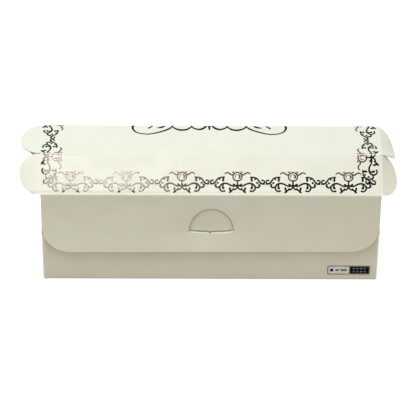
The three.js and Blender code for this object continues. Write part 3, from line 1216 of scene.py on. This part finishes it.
def coated_board():
    """The printed face: smooth satin coating over faint fibres."""
    material, tree, shader = new_material("coated_board")
    paper = use_group(tree, PAPER_FIBRE, cloud_size=11, fibre_size=0.28)
    worn = use_group(tree, CREASE_WEAR, wear=0.55, break_size=1.1)["Mask"]
    dust = use_group(tree, DUST_SPECKS, spacing=7, speck_size=0.022)["Mask"]
    colour = mix_colour(tree, paper["Tone"], BOARD_FACE, BOARD_FACE_DEEP)
    colour = mix_colour(tree, worn, colour, BOARD_STRETCHED)
    colour = mix_colour(tree, math_node(tree, "MULTIPLY", dust, 0.3), colour, DUST)
    plug(tree, shader.inputs["Base Color"], colour)
    roughness = map_range(tree, paper["Tone"], 0, 1, 0.44, 0.52)
    cracked = math_node(tree, "MULTIPLY", worn, 0.2)
    plug(tree, shader.inputs["Roughness"], math_node(tree, "ADD", roughness, cracked))
    shader.inputs["Specular IOR Level"].default_value = 0.19
    bump(tree, shader, paper["Fibres"], 0.25, 0.03)
    return material


def raw_board(name, first, second, cloud_size, fibre_size, depth):
    """Uncoated paper, for the cut edges and the inside."""
    material, tree, shader = new_material(name)
    paper = use_group(tree, PAPER_FIBRE, cloud_size=cloud_size, fibre_size=fibre_size)
    share = math_node(tree, "MULTIPLY", paper["Tone"], paper["Fibres"])
    plug(tree, shader.inputs["Base Color"], mix_colour(tree, share, first, second))
    shader.inputs["Roughness"].default_value = 0.85
    shader.inputs["Specular IOR Level"].default_value = 0.19
    bump(tree, shader, paper["Fibres"], 0.5, depth)
    return material


def pressed_foil(name, first, second, roughness):
    """Glossy foil pressed into the board, cracked where it runs over a crease."""
    material, tree, shader = new_material(name)
    paper = use_group(tree, PAPER_FIBRE, cloud_size=3, fibre_size=0.22)
    worn = use_group(tree, CREASE_WEAR, wear=0.8, break_size=0.35)["Mask"]
    dust = use_group(tree, DUST_SPECKS, spacing=1.5, speck_size=0.05)["Mask"]
    colour = mix_colour(tree, paper["Tone"], first, second)
    colour = mix_colour(tree, math_node(tree, "MULTIPLY", dust, 0.4), colour, DUST)
    colour = mix_colour(tree, worn, colour, BOARD_FACE)
    plug(tree, shader.inputs["Base Color"], colour)
    shader.inputs["Specular IOR Level"].default_value = 0.16
    rough = map_range(tree, paper["Fibres"], 0.3, 0.7, roughness - 0.02, roughness + 0.03)
    cracked = math_node(tree, "MULTIPLY", worn, 0.4)
    plug(tree, shader.inputs["Roughness"], math_node(tree, "ADD", rough, cracked))
    bump(tree, shader, paper["Fibres"], 0.05, 0.01)
    return material


def printing_ink(name, colour, roughness):
    material, tree, shader = new_material(name)
    paper = use_group(tree, PAPER_FIBRE, cloud_size=2, fibre_size=0.2)
    deeper = tuple(0.8 * channel for channel in colour[:3]) + (1,)
    plug(tree, shader.inputs["Base Color"], mix_colour(tree, paper["Tone"], colour, deeper))
    shader.inputs["Roughness"].default_value = roughness
    shader.inputs["Specular IOR Level"].default_value = 0.03
    bump(tree, shader, paper["Fibres"], 0.15, 0.01)
    return material


def floor_material():
    """Plain pale paper sweep."""
    material, tree, shader = new_material("pale_sweep")
    paper = use_group(tree, PAPER_FIBRE, cloud_size=120, fibre_size=1.2)
    plug(tree, shader.inputs["Base Color"], mix_colour(tree, paper["Tone"], SWEEP, SWEEP_DEEP))
    shader.inputs["Emission Color"].default_value = (1, 1, 1, 1)
    shader.inputs["Emission Strength"].default_value = 0.4
    shader.inputs["Roughness"].default_value = 0.9
    shader.inputs["Specular IOR Level"].default_value = 0.0
    return material


def make_floor():
    """The surface that the box stands on. Its own light doesn't fall back on the box."""
    work = bmesh.new()
    reach = 3.0
    corners = [(-reach, -reach), (reach, -reach), (reach, reach), (-reach, reach)]
    work.faces.new([work.verts.new((x, y, 0)) for x, y in corners])
    mesh = bpy.data.meshes.new("floor")
    work.to_mesh(mesh)
    work.free()
    mesh.materials.append(floor_material())
    floor = bpy.data.objects.new("floor", mesh)
    bpy.context.scene.collection.objects.link(floor)
    floor.visible_diffuse = False


# Camera, fitted to the photograph
VIEW_ELEVATION = math.radians(37.14)
VIEW_AZIMUTH = math.radians(1.04)
VIEW_ROLL = math.radians(0.8)
VIEW_DISTANCE = 1289
VIEW_TARGET = (0, FRONT + 15.8, 43.3)
FOCAL_PIXELS = 2410
IMAGE_PIXELS = 416
TARGET_PIXEL = (210.6, 198.75)


def make_camera():
    data = bpy.data.cameras.new("camera")
    data.sensor_width = 36
    data.lens = data.sensor_width * FOCAL_PIXELS / IMAGE_PIXELS
    camera = bpy.data.objects.new("camera", data)
    bpy.context.scene.collection.objects.link(camera)
    right = Vector((math.cos(VIEW_AZIMUTH), -math.sin(VIEW_AZIMUTH), 0))
    ahead = Vector((math.sin(VIEW_AZIMUTH), math.cos(VIEW_AZIMUTH), 0))
    forward = ahead * math.cos(VIEW_ELEVATION) - Vector((0, 0, math.sin(VIEW_ELEVATION)))
    above = right.cross(forward)
    target = at(*VIEW_TARGET)
    camera.location = target - forward * VIEW_DISTANCE * MM
    per_pixel = VIEW_DISTANCE * MM / FOCAL_PIXELS
    right_by = (TARGET_PIXEL[0] - IMAGE_PIXELS / 2) * per_pixel
    up_by = (IMAGE_PIXELS / 2 - TARGET_PIXEL[1]) * per_pixel
    aim = target - right * right_by - above * up_by
    look = (aim - camera.location).to_track_quat("-Z", "Y")
    camera.rotation_mode = "QUATERNION"
    camera.rotation_quaternion = look @ Matrix.Rotation(VIEW_ROLL, 3, "Z").to_quaternion()
    data.clip_start = 0.05
    data.clip_end = 20
    bpy.context.scene.camera = camera


# Light: a pale dome, a broad lamp high in front and to the left, and a small one that only glossy
# surfaces show
DOME_STRENGTH = 0.8
DOME_HORIZON = (1.42, 1.325, 1.175, 1)
DOME_ZENITH = (0.835, 0.905, 0.94, 1)
DOME_BELOW = (0.16, 0.115, 0.03, 1)
Lamp = namedtuple("Lamp", "name elevation x raised distance width height power colour glossy")
MIRRORED_ELEVATION = math.pi / 2 - VIEW_ELEVATION
KEY_LEVEL = 0.33
KEY_DISTANCE = 450
GLARE_RADIANCE = 92
GLARE_SIZE = (86, 108)
LAMPS = [
    Lamp(
        "key_lamp", math.radians(76), -110, 0, KEY_DISTANCE, 300, 216,
        KEY_LEVEL * math.pi**2 * (KEY_DISTANCE * MM) ** 2, (0.9, 1, 1), False,
    ),
    Lamp(
        "glare_lamp", MIRRORED_ELEVATION, -73, 46, 450, *GLARE_SIZE,
        GLARE_RADIANCE * math.pi * GLARE_SIZE[0] * GLARE_SIZE[1] * MM**2, (1, 0.93, 0.8), True,
    ),
]


def make_dome():
    world = bpy.data.worlds.new("studio")
    bpy.context.scene.world = world
    world.use_nodes = True
    tree = world.node_tree
    split = tree.nodes.new("ShaderNodeSeparateXYZ")
    tree.links.new(tree.nodes.new("ShaderNodeTexCoord").outputs["Generated"], split.inputs[0])
    height = split.outputs["Z"]
    dome = mix_colour(tree, map_range(tree, height, 0.0, 0.8), DOME_HORIZON, DOME_ZENITH)
    colour = mix_colour(tree, map_range(tree, height, -0.04, 0.0), DOME_BELOW, dome)
    background = tree.nodes["Background"]
    plug(tree, background.inputs["Color"], colour)
    background.inputs["Strength"].default_value = DOME_STRENGTH


def make_lamp(lamp):
    """A lamp in front of the front slope's middle, seen from there at an elevation."""
    data = bpy.data.lights.new(lamp.name, "AREA")
    data.shape = "RECTANGLE"
    data.size = lamp.width * MM
    data.size_y = lamp.height * MM
    data.energy = lamp.power
    data.color = lamp.colour
    piece = bpy.data.objects.new(lamp.name, data)
    bpy.context.scene.collection.objects.link(piece)
    piece.visible_glossy = lamp.glossy
    piece.visible_diffuse = not lamp.glossy
    slope_middle, _ = section((FRONT_SLOPE.start + FRONT_SLOPE.end) / 2)
    middle = at(0, slope_middle.x, slope_middle.y)
    toward = Vector((0, -math.cos(lamp.elevation), math.sin(lamp.elevation)))
    above = Vector((0, math.sin(lamp.elevation), math.cos(lamp.elevation)))
    facing = toward * lamp.distance + Vector((lamp.x, 0, 0))
    piece.location = middle + (facing + above * lamp.raised) * MM
    piece.rotation_mode = "QUATERNION"
    piece.rotation_quaternion = (-facing).to_track_quat("-Z", "Y")


make_camera()
make_dome()
for each_lamp in LAMPS:
    make_lamp(each_lamp)
make_floor()

make_carton(
    coated_board(),
    raw_board("cut_edge", BOARD_CUT, BOARD_CUT_DEEP, 1.2, 0.15, 0.05),
    raw_board("inside_face", BOARD_INSIDE, BOARD_INSIDE_DEEP, 6, 0.3, 0.05),
)
# The web's dark material is painted shade
make_ear_web(raw_board("web_painted_shade", WEB_PAINTED_SHADE, WEB_PAINTED_SHADE_DEEP, 1.2, 0.15, 0.05))
UNITS = print_units()
dark_foil = pressed_foil("dark_foil", DARK_FOIL, DARK_FOIL_DEEP, 0.16)
wine_foil = pressed_foil("wine_foil", WINE_FOIL, WINE_FOIL_DEEP, 0.16)
make_print("print_scrollwork", dark_foil, add_scrollwork, UNITS)
make_print("print_roundels", wine_foil, add_roundel, UNITS)
make_print("print_flourish", dark_foil, add_flourish)
# Dark strip of painted shadow round the half-moon's arc
make_print("arc_gap_shadow", raw_board("arc_gap_shadow_paint", ARC_GAP_SHADE, ARC_GAP_SHADE_DEEP, 0.8, 0.12, 0.05), add_arc_gap_shade)
make_patch(
    printing_ink("pale_ink", PALE_INK, 0.5),
    printing_ink("black_ink", BLACK_INK, 0.35),
    printing_ink("grey_ink", GREY_INK, 0.4),
)

bpy.context.scene.view_settings.view_transform = "Standard"
